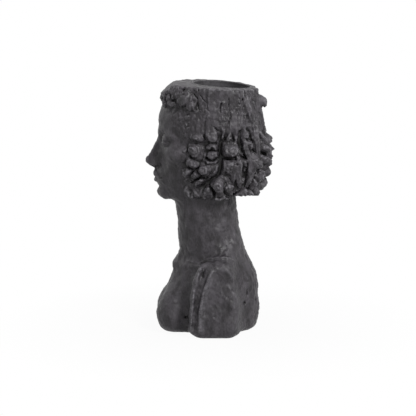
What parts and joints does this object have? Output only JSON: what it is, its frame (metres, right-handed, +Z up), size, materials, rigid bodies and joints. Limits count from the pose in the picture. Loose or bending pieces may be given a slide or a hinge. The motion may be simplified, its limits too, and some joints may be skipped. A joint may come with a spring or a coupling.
{
  "type": "head planter",
  "caption": "Free-standing planter cast as a bust with curled hair, its head cut open at the crown to hold a round planting cup with a lift-out rubber drain plug.",
  "frame": {"origin": "middle of the overall box's underside, on the surface that the planter stands on", "axes": "+Z up; the face looks along -Y; +X is the bust's own left side"},
  "size_m": [0.194, 0.2224, 0.437],
  "materials": {
    "cast_resin": "matte",
    "cup_resin": "matte",
    "plug_rubber": "matte",
    "plate_resin": "matte",
    "pad_foam": "matte"
  },
  "bodies": {
    "bust": {"bust_shell": "cast_resin", "planting_cup": "cup_resin", "base_plate": "plate_resin", "foot_pad_front": "pad_foam", "foot_pad_left": "pad_foam", "foot_pad_back": "pad_foam", "foot_pad_right": "pad_foam"},
    "plug": {"drain_plug": "plug_rubber"}
  },
  "joints": [
    {"name": "plug_lift", "type": "slide", "parent": "bust", "child": "plug", "axis": [0, 0, 1], "range_m": [0, 0.16]}
  ]
}
